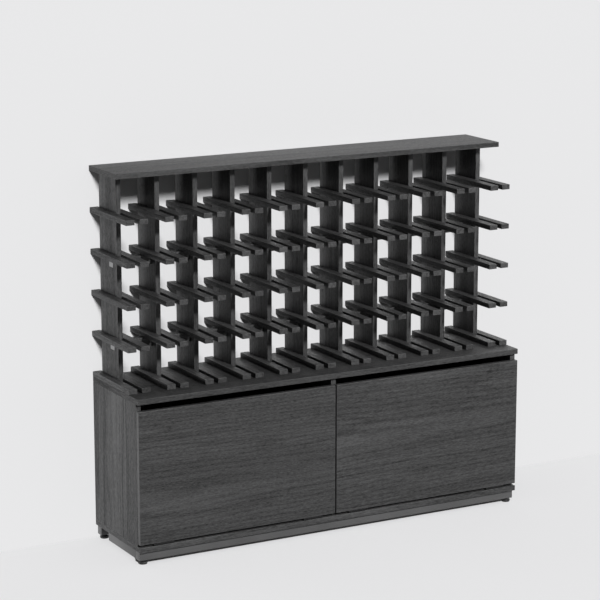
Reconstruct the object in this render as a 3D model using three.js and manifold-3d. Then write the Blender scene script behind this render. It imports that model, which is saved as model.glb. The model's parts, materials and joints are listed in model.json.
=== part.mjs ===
// Wine rack: rows of bottle rails on eleven uprights, standing on a low cupboard with two
// drop-down flaps. Millimetres, +Z up, +X to the right, the front towards -Y. The origin is on
// the floor under the middle of the cupboard.
import * as THREE from "three";
import { mergeVertices } from "three/addons/utils/BufferGeometryUtils.js";
import Module from "manifold-3d";

const wasm = await Module();
wasm.setup();

// ---------------------------------------------------------------- driving dimensions

const WIDTH = 1200;
const DEPTH = 293;
const SEAM = 0.3; // gap left between pieces that rest on or against each other
const RUNNING = 0.08; // radial clearance of a pin or stud in its hole
const OVERLAP = 1; // how far joined shapes run into each other, and a cut runs past a face
const WELD = 1e-5; // vertices closer than this are one vertex
const ROUND_SIDES = 24;

// Levels, from the floor up.
const FOOT_HEIGHT = 11;
const PLINTH_BAR = 25; // square steel tube
const CABINET_STOCK = 15; // board thickness of the cupboard
const FLAP_BOTTOM_GAP = 7; // room for the hinge knuckles
const FLAP_HEIGHT = 368;
const FINGER_GAP = 19; // the flaps are pulled open through this gap
const RACK_STOCK = 14; // board thickness of the rack
const BOTTLE_CLEAR = 100; // free height over each row of rails
const ROWS = 5;

// Rack, front to back.
const RAIL_SETBACK = 58; // from the front plane to the rail ends
const RAIL_WIDTH = 25;
const UPRIGHT_DEPTH = 110;
const UPRIGHT_REAR_RECESS = 6.5;
const UPRIGHTS = 11;
const SHELF_DEPTH = 175.5;
const TIE_ROWS = [2, 4]; // rows, counted from the top, with a tie rail under them
const TIE_SETBACK = 25; // from an upright's front edge to the tie rail
const TIE_DEPTH = 25;
const TIE_HEIGHT = 25;

// Cupboard.
const FLAP_SIDE_INSET = 0.5;
const FLAP_CENTRE_GAP = 4;
const CARCASE_SETBACK = 15.4; // front edges of the side panels and the divider
const BACK_PANEL = 8;

// Flap hinges: steel butt hinges in the gap under each flap.
const HINGE_LENGTH = 60;
const HINGE_SHEET = 1.2;
const HINGE_FROM_FLAP_END = 70; // flap end to the hinge's middle
const KNUCKLES = 5;
const KNUCKLE_RADIUS = 3.1;
const HINGE_PIN_RADIUS = 1.5;
const HINGE_AXIS_SETBACK = 3.2;
const BOARD_LEAF_DEPTH = 24;
const FLAP_LEAF_DEPTH = 11;
const LEAF_CLEAR = 0.4; // between a leaf's edge and the other leaf's knuckles

// Flap stays: a flat arm pivots on the flap and slides through a swivelling sleeve on the side
// panel. Both pivots are the same distance from the hinge axis, so the arm always turns through
// half of the flap's angle.
const STAY_RADIUS = 140;
const STAY_SLEEVE_ANGLE = THREE.MathUtils.degToRad(60);
const STAY_FLAP_OFFSET = 24; // arm pivot to the plane of the hinge axis
const STAY_ARM_WIDTH = 10;
const STAY_ARM_THICK = 3;
const STAY_EYE_RADIUS = 8;
const STAY_STUD_RADIUS = 2.5;
const SLEEVE_LENGTH = 24;
const SLEEVE_WALL = 3.2;
const SLIDE_CLEAR = 0.4; // between the arm and the sleeve
const STOP_CLEAR = 2; // between the arm's end stop and the sleeve with the flap open
const STAY_PLATE_WIDTH = 30; // screw plate on the side panel
const STAY_PLATE_HEIGHT = 44; // screw plates on the side panel and on the flap
const STAY_BRACKET_END = 34; // side panel to the far end of the flap's screw plate
const STAY_BRACKET_SHEET = 2.5;
const STAY_EAR_HEIGHT = 18;
const STUD_CLEAR = 0.2; // between the side plate's stud and the arm
const STUD_PROUD = 0.5; // the bracket's stud shows this much past the arm
const OPEN_ANGLE = Math.PI / 2;

// Magnetic catches, one on each side of the divider.
const CATCH_BELOW_FLAP_TOP = 38; // flap top to the catch's middle
const CATCH_PLATE_WIDTH = 18;
const CATCH_PLATE_HEIGHT = 40;
const CATCH_PLATE_SHEET = 1.2;
const MAGNET_WIDTH = 13;
const MAGNET_HEIGHT = 44;
const MAGNET_DEPTH = 24.5;

// Plinth and feet.
const PLINTH_END_INSET = 3;
const PLINTH_FRONT_INSET = 10;
const PLINTH_REAR_INSET = 6.5;
const PLINTH_WALL = 2;
const SIDE_BAR_REAR = 213; // from the front plane to the rear end of a side bar
const FOOT_RADIUS = 12.5;
const FOOT_CHAMFER = 1.5;
const FOOT_INSET = 17.5; // from the cupboard's end to the foot's centre
const STEM_RADIUS = 3.9;
const STEM_TOP = 31;
const STEM_CHAMFER = 0.5;
const INSERT_RADIUS = 6.7;
const INSERT_TOP = 25;

// ---------------------------------------------------------------- levels and places

const FRONT = -DEPTH / 2;
const REAR = DEPTH / 2;
const PLINTH_TOP = FOOT_HEIGHT + PLINTH_BAR;
const FLOOR_BOARD_TOP = PLINTH_TOP + CABINET_STOCK;
const FLAP_BOTTOM = FLOOR_BOARD_TOP + FLAP_BOTTOM_GAP;
const FLAP_TOP = FLAP_BOTTOM + FLAP_HEIGHT;
const TOP_BOARD_UNDER = FLAP_TOP + FINGER_GAP;
const TOP_BOARD_TOP = TOP_BOARD_UNDER + CABINET_STOCK;
const ROW_PITCH = RACK_STOCK + BOTTLE_CLEAR;
const SHELF_UNDER = TOP_BOARD_TOP + ROWS * ROW_PITCH;
const SHELF_TOP = SHELF_UNDER + RACK_STOCK;
const INNER_HALF_WIDTH = WIDTH / 2 - CABINET_STOCK;
const UPRIGHT_PITCH = (WIDTH - 2 * RAIL_WIDTH - RACK_STOCK) / (UPRIGHTS - 1);
const UPRIGHT_REAR = REAR - UPRIGHT_REAR_RECESS;
const UPRIGHT_FRONT = UPRIGHT_REAR - UPRIGHT_DEPTH;
const FLAP_WIDTH = (WIDTH - 2 * FLAP_SIDE_INSET - FLAP_CENTRE_GAP) / 2;
const HINGE_Y = FRONT + HINGE_AXIS_SETBACK;
const HINGE_Z = FLOOR_BOARD_TOP + FLAP_BOTTOM_GAP / 2;
const FLAP_INNER = FRONT + CABINET_STOCK;

// Height of a row's rail undersides; row 1 is the highest.
const rowUnder = (row) => TOP_BOARD_TOP + (ROWS - row) * ROW_PITCH;

// ---------------------------------------------------------------- materials

const finish = (color, roughness, metalness) => () =>
  new THREE.MeshStandardMaterial({ color, roughness, metalness });
const blackOak = finish(0x3a3a3a, 0.6, 0);
const greySteel = finish(0x5c5c60, 0.45, 0.4);
const darkSteel = finish(0x2b2b2d, 0.4, 0.8);
const brightSteel = finish(0x9a9a9c, 0.35, 0.9);
const blackPlastic = finish(0x0c0c0c, 0.55, 0);

// ---------------------------------------------------------------- shape helpers

// A box between opposite corners, in the coordinates of the piece it belongs to.
function box([x0, x1], [y0, y1], [z0, z1]) {
  const geometry = new THREE.BoxGeometry(x1 - x0, y1 - y0, z1 - z0);
  return geometry.translate((x0 + x1) / 2, (y0 + y1) / 2, (z0 + z1) / 2);
}

// Extrudes an outline drawn in (Y, Z) along X, centred on x = 0.
function alongX(shape, length, curveSegments = 12) {
  const options = { depth: length, bevelEnabled: false, curveSegments };
  const axes = new THREE.Matrix4().makeBasis(
    new THREE.Vector3(0, 1, 0),
    new THREE.Vector3(0, 0, 1),
    new THREE.Vector3(1, 0, 0),
  );
  const geometry = new THREE.ExtrudeGeometry(shape, options).translate(0, 0, -length / 2);
  return geometry.applyMatrix4(axes);
}

// A round bar along X between two x values, on the axis (y, z).
function roundBarX(radius, x0, x1, y = 0, z = 0) {
  const disc = new THREE.Shape().absarc(0, 0, radius, 0, 2 * Math.PI);
  return alongX(disc, x1 - x0).translate((x0 + x1) / 2, y, z);
}

// A round bar along Z between two heights, on the axis (x, y).
function roundBarZ(radius, x, y, z0, z1) {
  const geometry = new THREE.CylinderGeometry(radius, radius, z1 - z0, ROUND_SIDES);
  return geometry.rotateX(Math.PI / 2).translate(x, y, (z0 + z1) / 2);
}

function toSolid(geometry) {
  const bare = geometry.clone();
  bare.deleteAttribute("normal");
  bare.deleteAttribute("uv");
  const merged = mergeVertices(bare, WELD);
  const vertProperties = new Float32Array(merged.attributes.position.array);
  const triVerts = new Uint32Array(merged.index.array);
  return new wasm.Manifold(new wasm.Mesh({ numProp: 3, vertProperties, triVerts }));
}

function toGeometry(solid) {
  const mesh = solid.getMesh();
  const geometry = new THREE.BufferGeometry();
  geometry.setAttribute("position", new THREE.BufferAttribute(mesh.vertProperties, 3));
  geometry.setIndex(new THREE.BufferAttribute(mesh.triVerts, 1));
  geometry.computeVertexNormals();
  return geometry;
}

// Joins the first list of shapes and cuts the second list out of them.
function joinAndCut(joined, cuts = []) {
  let solid = toSolid(joined[0]);
  for (const shape of joined.slice(1)) solid = solid.add(toSolid(shape));
  for (const shape of cuts) solid = solid.subtract(toSolid(shape));
  return toGeometry(solid);
}

const rack = new THREE.Group();

function addPiece(name, geometry, material, position = [0, 0, 0], turnX = 0) {
  const mesh = new THREE.Mesh(geometry, material());
  mesh.name = name;
  mesh.position.set(...position);
  mesh.rotation.x = turnX;
  rack.add(mesh);
}

// Runs a maker for the left side (-1) and the right side (+1).
function onBothSides(maker) {
  maker("left", -1);
  maker("right", 1);
}

// ---------------------------------------------------------------- plinth and feet

function footPlaces() {
  const frontY = FRONT + PLINTH_FRONT_INSET + PLINTH_BAR / 2;
  const rearY = REAR - PLINTH_REAR_INSET - PLINTH_BAR / 2;
  const x = WIDTH / 2 - FOOT_INSET;
  return [
    ["front_left", -x, frontY],
    ["front_right", x, frontY],
    ["rear_left", -x, rearY],
    ["rear_right", x, rearY],
  ];
}

// A welded tube across the cupboard with closed ends and a hole for each foot's insert.
function crossBar(name, y0) {
  const halfLength = WIDTH / 2 - PLINTH_END_INSET;
  const y1 = y0 + PLINTH_BAR;
  const top = PLINTH_TOP - SEAM;
  const outer = box([-halfLength, halfLength], [y0, y1], [FOOT_HEIGHT, top]);
  const inner = box(
    [-halfLength + PLINTH_WALL, halfLength - PLINTH_WALL],
    [y0 + PLINTH_WALL, y1 - PLINTH_WALL],
    [FOOT_HEIGHT + PLINTH_WALL, top - PLINTH_WALL],
  );
  const holes = footPlaces()
    .filter(([, , y]) => y > y0 && y < y1)
    .map(([, x, y]) => {
      const radius = INSERT_RADIUS + SEAM;
      const bottom = FOOT_HEIGHT - OVERLAP;
      return roundBarZ(radius, x, y, bottom, FOOT_HEIGHT + PLINTH_WALL + OVERLAP);
    });
  addPiece(name, joinAndCut([outer], [inner, ...holes]), greySteel);
}

// A tube along the side, open at both ends; it stops short of the rear bar.
function sideBar(side, sign) {
  const half = PLINTH_BAR / 2;
  const top = PLINTH_TOP - SEAM - FOOT_HEIGHT;
  const start = FRONT + PLINTH_FRONT_INSET + PLINTH_BAR + SEAM;
  const length = FRONT + SIDE_BAR_REAR - start;
  const outer = box([-half, half], [0, length], [0, top]);
  const inner = box(
    [-half + PLINTH_WALL, half - PLINTH_WALL],
    [-OVERLAP, length + OVERLAP],
    [PLINTH_WALL, top - PLINTH_WALL],
  );
  const x = sign * (WIDTH / 2 - PLINTH_END_INSET - half);
  const geometry = joinAndCut([outer], [inner]);
  addPiece(`plinth_${side}_bar`, geometry, greySteel, [x, start, FOOT_HEIGHT]);
}

// A moulded pad on a threaded stem, turned as one profile about the stem's axis.
function levellingFoot() {
  const padTop = FOOT_HEIGHT - SEAM;
  const profile = [
    [0, 0],
    [FOOT_RADIUS - FOOT_CHAMFER, 0],
    [FOOT_RADIUS, FOOT_CHAMFER],
    [FOOT_RADIUS, padTop - FOOT_CHAMFER],
    [FOOT_RADIUS - FOOT_CHAMFER, padTop],
    [STEM_RADIUS, padTop],
    [STEM_RADIUS, STEM_TOP - STEM_CHAMFER],
    [STEM_RADIUS - STEM_CHAMFER, STEM_TOP],
    [0, STEM_TOP],
  ].map(([r, z]) => new THREE.Vector2(r, z));
  return new THREE.LatheGeometry(profile, ROUND_SIDES).rotateX(Math.PI / 2);
}

function threadedInsert() {
  const bore = STEM_RADIUS + RUNNING;
  const bottom = FOOT_HEIGHT + SEAM;
  const profile = [
    [bore, bottom],
    [INSERT_RADIUS, bottom],
    [INSERT_RADIUS, INSERT_TOP],
    [bore, INSERT_TOP],
    [bore, bottom],
  ].map(([r, z]) => new THREE.Vector2(r, z));
  return new THREE.LatheGeometry(profile, ROUND_SIDES).rotateX(Math.PI / 2);
}

function buildPlinth() {
  crossBar("plinth_front_bar", FRONT + PLINTH_FRONT_INSET);
  crossBar("plinth_rear_bar", REAR - PLINTH_REAR_INSET - PLINTH_BAR);
  onBothSides(sideBar);
  for (const [place, x, y] of footPlaces()) {
    addPiece(`foot_${place}`, levellingFoot(), blackPlastic, [x, y, 0]);
    addPiece(`foot_insert_${place}`, threadedInsert(), brightSteel, [x, y, 0]);
  }
}

// ---------------------------------------------------------------- cupboard carcase

function buildCarcase() {
  const full = [-WIDTH / 2, WIDTH / 2];
  const depth = [FRONT, REAR];
  const bottom = box(full, depth, [PLINTH_TOP, FLOOR_BOARD_TOP]);
  addPiece("cabinet_bottom_board", bottom, blackOak);
  const top = box(full, depth, [TOP_BOARD_UNDER, TOP_BOARD_TOP]);
  addPiece("cabinet_top_board", top, blackOak);

  const inside = [FLOOR_BOARD_TOP + SEAM, TOP_BOARD_UNDER - SEAM];
  const half = CABINET_STOCK / 2;
  const panelFront = FRONT + CARCASE_SETBACK;
  onBothSides((side, sign) => {
    const panel = box([-half, half], [panelFront, REAR], inside);
    addPiece(`${side}_side_panel`, panel, blackOak, [sign * (WIDTH / 2 - half), 0, 0]);
  });
  const backFront = REAR - BACK_PANEL;
  const divider = box([-half, half], [panelFront, backFront - SEAM], inside);
  addPiece("centre_divider", divider, blackOak);
  const backHalf = INNER_HALF_WIDTH - SEAM;
  addPiece("back_panel", box([-backHalf, backHalf], [backFront, REAR], inside), blackOak);
}

// ---------------------------------------------------------------- flaps and their hinges

// A sheet leaf with alternate knuckles, lying under (up = 1) or over (up = -1) the axis.
// parity picks which knuckles belong to it.
function hingeLeaf(depth, up, parity) {
  const segment = HINGE_LENGTH / KNUCKLES;
  const sheetNear = -up * KNUCKLE_RADIUS;
  const sheetFar = -up * (KNUCKLE_RADIUS - HINGE_SHEET);
  const sheet = [Math.min(sheetNear, sheetFar), Math.max(sheetNear, sheetFar)];
  const length = [-HINGE_LENGTH / 2, HINGE_LENGTH / 2];
  const shapes = [box(length, [KNUCKLE_RADIUS + LEAF_CLEAR, depth], sheet)];
  for (let i = parity; i < KNUCKLES; i += 2) {
    const x0 = -HINGE_LENGTH / 2 + i * segment + SEAM / 2;
    const x1 = x0 + segment - SEAM;
    shapes.push(box([x0, x1], [0, KNUCKLE_RADIUS + OVERLAP], sheet));
    shapes.push(roundBarX(KNUCKLE_RADIUS, x0, x1));
  }
  const bore = roundBarX(HINGE_PIN_RADIUS + RUNNING, -HINGE_LENGTH, HINGE_LENGTH);
  return joinAndCut(shapes, [bore]);
}

function buildFlap(side, sign) {
  const x = sign * (FLAP_CENTRE_GAP / 2 + FLAP_WIDTH / 2);
  const half = FLAP_WIDTH / 2;
  const flap = box([-half, half], [FRONT, FLAP_INNER], [FLAP_BOTTOM, FLAP_TOP]);
  addPiece(`${side}_flap`, flap, blackOak, [x, 0, 0]);

  const offset = half - HINGE_FROM_FLAP_END;
  for (const [where, hingeX] of [["outer", x + sign * offset], ["inner", x - sign * offset]]) {
    const name = `${side}_${where}_hinge`;
    const place = [hingeX, HINGE_Y, HINGE_Z];
    addPiece(`${name}_board_leaf`, hingeLeaf(BOARD_LEAF_DEPTH, 1, 0), darkSteel, place);
    addPiece(`${name}_flap_leaf`, hingeLeaf(FLAP_LEAF_DEPTH, -1, 1), darkSteel, place);
    const pin = roundBarX(HINGE_PIN_RADIUS, -HINGE_LENGTH / 2, HINGE_LENGTH / 2);
    addPiece(`${name}_pin`, pin, darkSteel, place);
  }
}

// ---------------------------------------------------------------- flap stays

// Where the arm's two pivots lie, measured from the hinge axis as (y, z) with the flap shut.
const STAY_FLAP_PIVOT = new THREE.Vector2(
  STAY_FLAP_OFFSET,
  Math.sqrt(STAY_RADIUS ** 2 - STAY_FLAP_OFFSET ** 2),
);
const STAY_SLEEVE_PIVOT = new THREE.Vector2(
  STAY_RADIUS * Math.cos(STAY_SLEEVE_ANGLE),
  STAY_RADIUS * Math.sin(STAY_SLEEVE_ANGLE),
);
const STAY_OPEN_PIVOT = STAY_FLAP_PIVOT.clone().rotateAround(new THREE.Vector2(), OPEN_ANGLE);
const STAY_TURN = STAY_SLEEVE_PIVOT.clone().sub(STAY_FLAP_PIVOT).angle();
const STAY_REACH = STAY_OPEN_PIVOT.distanceTo(STAY_SLEEVE_PIVOT);

// Layers of a stay, as distances in from the side panel's inner face.
const SIDE_PLATE_LAYER = [SEAM, SEAM + STAY_BRACKET_SHEET];
const SLEEVE_LAYER = [3.3, 11.8];
const ARM_LAYER = [6, 6 + STAY_ARM_THICK];
const EAR_LAYER = [9.5, 12];

// Turns a layer into x limits for one side of the cupboard.
function layerX(sign, [near, far]) {
  const a = sign * (INNER_HALF_WIDTH - near);
  const b = sign * (INNER_HALF_WIDTH - far);
  return [Math.min(a, b), Math.max(a, b)];
}

// The arm runs from its eye at the origin along +Y to a round stop that the sleeve can't pass.
function stayArm(sign) {
  const half = STAY_ARM_WIDTH / 2;
  const bend = Math.asin(half / STAY_EYE_RADIUS);
  const stopY = STAY_REACH + SLEEVE_LENGTH / 2 + STAY_EYE_RADIUS + STOP_CLEAR;
  const outline = new THREE.Shape();
  outline.absarc(0, 0, STAY_EYE_RADIUS, bend, 2 * Math.PI - bend);
  outline.absarc(stopY, 0, STAY_EYE_RADIUS, Math.PI + bend, 3 * Math.PI - bend);
  outline.closePath();
  const hole = new THREE.Path().absarc(0, 0, STAY_STUD_RADIUS + RUNNING, 0, 2 * Math.PI, true);
  outline.holes.push(hole);
  const [x0, x1] = layerX(sign, ARM_LAYER);
  return alongX(outline, x1 - x0).translate((x0 + x1) / 2, 0, 0);
}

// A rectangular sleeve round the arm, with a round hole in its back for the side plate's stud.
function staySleeve(sign) {
  const slotHalf = STAY_ARM_WIDTH / 2 + SLIDE_CLEAR;
  const half = slotHalf + SLEEVE_WALL;
  const length = [-SLEEVE_LENGTH / 2, SLEEVE_LENGTH / 2];
  const block = box(layerX(sign, SLEEVE_LAYER), length, [-half, half]);
  const slotLayer = [ARM_LAYER[0] - SLIDE_CLEAR, ARM_LAYER[1] + SLIDE_CLEAR];
  const slot = box(layerX(sign, slotLayer), [-SLEEVE_LENGTH, SLEEVE_LENGTH], [-slotHalf, slotHalf]);
  const [x0, x1] = layerX(sign, [SLEEVE_LAYER[0] - OVERLAP, ARM_LAYER[0]]);
  return joinAndCut([block], [slot, roundBarX(STAY_STUD_RADIUS + RUNNING, x0, x1)]);
}

function staySidePlate(sign) {
  const width = [-STAY_PLATE_WIDTH / 2, STAY_PLATE_WIDTH / 2];
  const height = [-STAY_PLATE_HEIGHT / 2, STAY_PLATE_HEIGHT / 2];
  const plate = box(layerX(sign, SIDE_PLATE_LAYER), width, height);
  const studEnd = ARM_LAYER[0] - SLIDE_CLEAR - STUD_CLEAR;
  const [x0, x1] = layerX(sign, [SIDE_PLATE_LAYER[0] + OVERLAP, studEnd]);
  return joinAndCut([plate, roundBarX(STAY_STUD_RADIUS, x0, x1)]);
}

// A base plate on the flap's inner face and an ear that carries the arm's stud.
function stayFlapBracket(sign) {
  const face = FLAP_INNER + SEAM - HINGE_Y - STAY_FLAP_OFFSET;
  const height = [-STAY_PLATE_HEIGHT / 2, STAY_PLATE_HEIGHT / 2];
  const baseLayer = layerX(sign, [EAR_LAYER[0], STAY_BRACKET_END]);
  const base = box(baseLayer, [face, face + STAY_BRACKET_SHEET], height);
  const earHeight = [-STAY_EAR_HEIGHT / 2, STAY_EAR_HEIGHT / 2];
  const ear = box(layerX(sign, EAR_LAYER), [face, STAY_EYE_RADIUS], earHeight);
  const [x0, x1] = layerX(sign, [ARM_LAYER[0] - STUD_PROUD, EAR_LAYER[0] + OVERLAP]);
  return joinAndCut([base, ear, roundBarX(STAY_STUD_RADIUS, x0, x1)]);
}

function buildStay(side, sign) {
  const flapPivot = [0, HINGE_Y + STAY_FLAP_PIVOT.x, HINGE_Z + STAY_FLAP_PIVOT.y];
  const sleevePivot = [0, HINGE_Y + STAY_SLEEVE_PIVOT.x, HINGE_Z + STAY_SLEEVE_PIVOT.y];
  addPiece(`${side}_stay_arm`, stayArm(sign), darkSteel, flapPivot, STAY_TURN);
  addPiece(`${side}_stay_sleeve`, staySleeve(sign), darkSteel, sleevePivot, STAY_TURN);
  addPiece(`${side}_stay_side_plate`, staySidePlate(sign), darkSteel, sleevePivot);
  addPiece(`${side}_stay_flap_bracket`, stayFlapBracket(sign), darkSteel, flapPivot);
}

// ---------------------------------------------------------------- magnetic catches

function buildCatch(side, sign) {
  const near = CABINET_STOCK / 2 + SEAM;
  const middle = FLAP_TOP - CATCH_BELOW_FLAP_TOP;
  const across = (width) => (sign < 0 ? [-near - width, -near] : [near, near + width]);
  const upright = (height) => [middle - height / 2, middle + height / 2];
  const plateFront = FLAP_INNER + SEAM;
  const plateRear = plateFront + CATCH_PLATE_SHEET;
  const plate = box(across(CATCH_PLATE_WIDTH), [plateFront, plateRear], upright(CATCH_PLATE_HEIGHT));
  addPiece(`${side}_catch_plate`, plate, brightSteel);
  const magnetFront = plateRear + SEAM;
  const magnetDepth = [magnetFront, magnetFront + MAGNET_DEPTH];
  const magnet = box(across(MAGNET_WIDTH), magnetDepth, upright(MAGNET_HEIGHT));
  addPiece(`${side}_catch_magnet`, magnet, blackPlastic);
}

// ---------------------------------------------------------------- rack

// One upright with the rails screwed to both of its faces, a pair in every row, joined into a
// comb. A slot through the upright takes each tie rail.
function bottleFrame() {
  const half = RACK_STOCK / 2;
  const bottom = TOP_BOARD_TOP + SEAM;
  const upright = box([-half, half], [UPRIGHT_FRONT, UPRIGHT_REAR], [bottom, SHELF_UNDER - SEAM]);
  const shapes = [upright];
  for (let row = 1; row <= ROWS; row++) {
    const under = Math.max(rowUnder(row), bottom);
    const height = [under, rowUnder(row) + RACK_STOCK];
    shapes.push(box([half, half + RAIL_WIDTH], [FRONT + RAIL_SETBACK, REAR], height));
    shapes.push(box([-half - RAIL_WIDTH, -half], [FRONT + RAIL_SETBACK, REAR], height));
    const tongue = [-half - OVERLAP, half + OVERLAP];
    shapes.push(box(tongue, [UPRIGHT_FRONT, UPRIGHT_REAR], height));
  }
  const slots = TIE_ROWS.map((row) => {
    const y0 = UPRIGHT_FRONT + TIE_SETBACK;
    const z1 = rowUnder(row);
    const slotDepth = [y0 - SEAM, y0 + TIE_DEPTH + SEAM];
    return box([-RACK_STOCK, RACK_STOCK], slotDepth, [z1 - TIE_HEIGHT - 2 * SEAM, z1]);
  });
  return joinAndCut(shapes, slots);
}

function buildRack() {
  for (let i = 0; i < UPRIGHTS; i++) {
    const name = `bottle_frame_${String(i + 1).padStart(2, "0")}`;
    const x = (i - (UPRIGHTS - 1) / 2) * UPRIGHT_PITCH;
    addPiece(name, bottleFrame(), blackOak, [x, 0, 0]);
  }
  const tieHalf = WIDTH / 2 - RAIL_WIDTH;
  const tieFront = UPRIGHT_FRONT + TIE_SETBACK;
  TIE_ROWS.forEach((row, i) => {
    const z1 = rowUnder(row) - SEAM;
    const tie = box([-tieHalf, tieHalf], [tieFront, tieFront + TIE_DEPTH], [z1 - TIE_HEIGHT, z1]);
    addPiece(i === 0 ? "upper_tie_rail" : "lower_tie_rail", tie, blackOak);
  });
  const shelf = box([-WIDTH / 2, WIDTH / 2], [REAR - SHELF_DEPTH, REAR], [SHELF_UNDER, SHELF_TOP]);
  addPiece("top_shelf", shelf, blackOak);
}

// ---------------------------------------------------------------- assembly

buildPlinth();
buildCarcase();
onBothSides(buildFlap);
onBothSides(buildStay);
onBothSides(buildCatch);
buildRack();

export default rack;
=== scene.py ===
"""Looks of the wine rack: black-stained oak boards, a painted steel plinth, steel fittings.

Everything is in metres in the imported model's frame: +X right, -Y front, +Z up.
"""
import json
import math
import random
import re

import bmesh
import bpy
from mathutils import Matrix, Vector

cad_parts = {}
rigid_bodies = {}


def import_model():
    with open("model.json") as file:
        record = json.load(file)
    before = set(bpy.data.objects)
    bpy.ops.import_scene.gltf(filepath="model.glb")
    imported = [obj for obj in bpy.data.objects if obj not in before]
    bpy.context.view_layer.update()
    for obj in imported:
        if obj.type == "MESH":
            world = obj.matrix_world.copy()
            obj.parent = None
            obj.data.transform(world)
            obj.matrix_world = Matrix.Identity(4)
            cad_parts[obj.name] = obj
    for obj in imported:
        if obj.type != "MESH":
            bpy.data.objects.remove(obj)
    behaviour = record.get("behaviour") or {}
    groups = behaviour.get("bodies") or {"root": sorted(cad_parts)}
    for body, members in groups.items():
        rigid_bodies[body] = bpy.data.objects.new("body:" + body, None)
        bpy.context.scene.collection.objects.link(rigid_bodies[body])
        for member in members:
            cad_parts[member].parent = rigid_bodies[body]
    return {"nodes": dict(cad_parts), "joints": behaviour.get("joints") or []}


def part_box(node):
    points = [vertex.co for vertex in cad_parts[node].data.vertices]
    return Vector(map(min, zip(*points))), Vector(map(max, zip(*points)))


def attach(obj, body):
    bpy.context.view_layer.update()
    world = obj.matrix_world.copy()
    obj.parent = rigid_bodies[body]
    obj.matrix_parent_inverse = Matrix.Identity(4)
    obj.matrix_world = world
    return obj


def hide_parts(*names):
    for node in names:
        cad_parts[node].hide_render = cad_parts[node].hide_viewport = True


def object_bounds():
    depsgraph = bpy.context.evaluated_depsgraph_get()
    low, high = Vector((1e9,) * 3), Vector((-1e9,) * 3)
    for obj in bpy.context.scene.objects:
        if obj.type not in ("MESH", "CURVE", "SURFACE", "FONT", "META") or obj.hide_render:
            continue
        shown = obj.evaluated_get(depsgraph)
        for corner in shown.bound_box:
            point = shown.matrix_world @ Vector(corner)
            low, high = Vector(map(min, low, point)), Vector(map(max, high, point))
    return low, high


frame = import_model()
cad_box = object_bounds()
rng = random.Random(11)

X, Y, Z = 0, 1, 2
MM = 0.001
OAK, PAINT, STEEL = "black_oak", "grey_plinth_paint", "dark_hinge_steel"
BRIGHT, PLASTIC = "bright_steel", "black_plastic"
SIDES = (("left", -1), ("right", 1))


# ---------------------------------------------------------------- materials

class Recipe:
    """A node material being put together."""

    def __init__(self, name):
        self.material = bpy.data.materials.new(name)
        self.material.use_nodes = True
        self.tree = self.material.node_tree
        self.shader = self.tree.nodes["Principled BSDF"]

    def feed(self, socket, value):
        if isinstance(value, bpy.types.NodeSocket):
            self.tree.links.new(value, socket)
        else:
            socket.default_value = value

    def node(self, kind, values=None, **settings):
        made = self.tree.nodes.new(kind)
        for key, value in settings.items():
            setattr(made, key, value)
        for key, value in (values or {}).items():
            self.feed(made.inputs[key], value)
        return made

    def math(self, operation, first, second=0.0, third=0.0):
        values = {0: first, 1: second, 2: third}
        return self.node("ShaderNodeMath", values, operation=operation).outputs[0]

    def scaled(self, vector, factors):
        made = self.node("ShaderNodeVectorMath", {0: vector, 1: factors}, operation="MULTIPLY")
        return made.outputs[0]

    def noise(self, vector, factors, detail=2.0, roughness=0.5):
        """Noise from 0 to 1, with its number of features per metre along each axis."""
        place = self.scaled(vector, factors)
        values = {"Vector": place, "Scale": 1.0, "Detail": detail, "Roughness": roughness}
        return self.node("ShaderNodeTexNoise", values).outputs["Fac"]

    def ramp(self, value, low, high, at_low=0.0, at_high=1.0):
        values = {"Value": value, "From Min": low, "From Max": high, "To Min": at_low, "To Max": at_high}
        return self.node("ShaderNodeMapRange", values).outputs["Result"]

    def blend(self, factor, first, second):
        made = self.node("ShaderNodeMix", data_type="RGBA")
        self.feed(made.inputs["Factor"], factor)
        self.feed(made.inputs["A"], first)
        self.feed(made.inputs["B"], second)
        return made.outputs["Result"]

    def bump(self, height, strength, distance):
        values = {"Height": height, "Strength": strength, "Distance": distance}
        self.feed(self.shader.inputs["Normal"], self.node("ShaderNodeBump", values).outputs[0])


def grey(value):
    return (value, value, value * 1.01, 1.0)


RINGS_PER_METRE = 95.0
RING_SLANT = 0.016  # how fast the board cuts across the rings along its length
HEART_BELOW = 0.055  # from the veneer down to the middle of the rings
STAIN_DARK, STAIN_LIGHT, BARE_WOOD = 0.006, 0.078, 0.17
OILED_GLOSS = 0.22
BANDED, UNSTAINED = 3.0, 5.0  # highest "edge" of stained wood, lowest of bare wood


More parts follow.
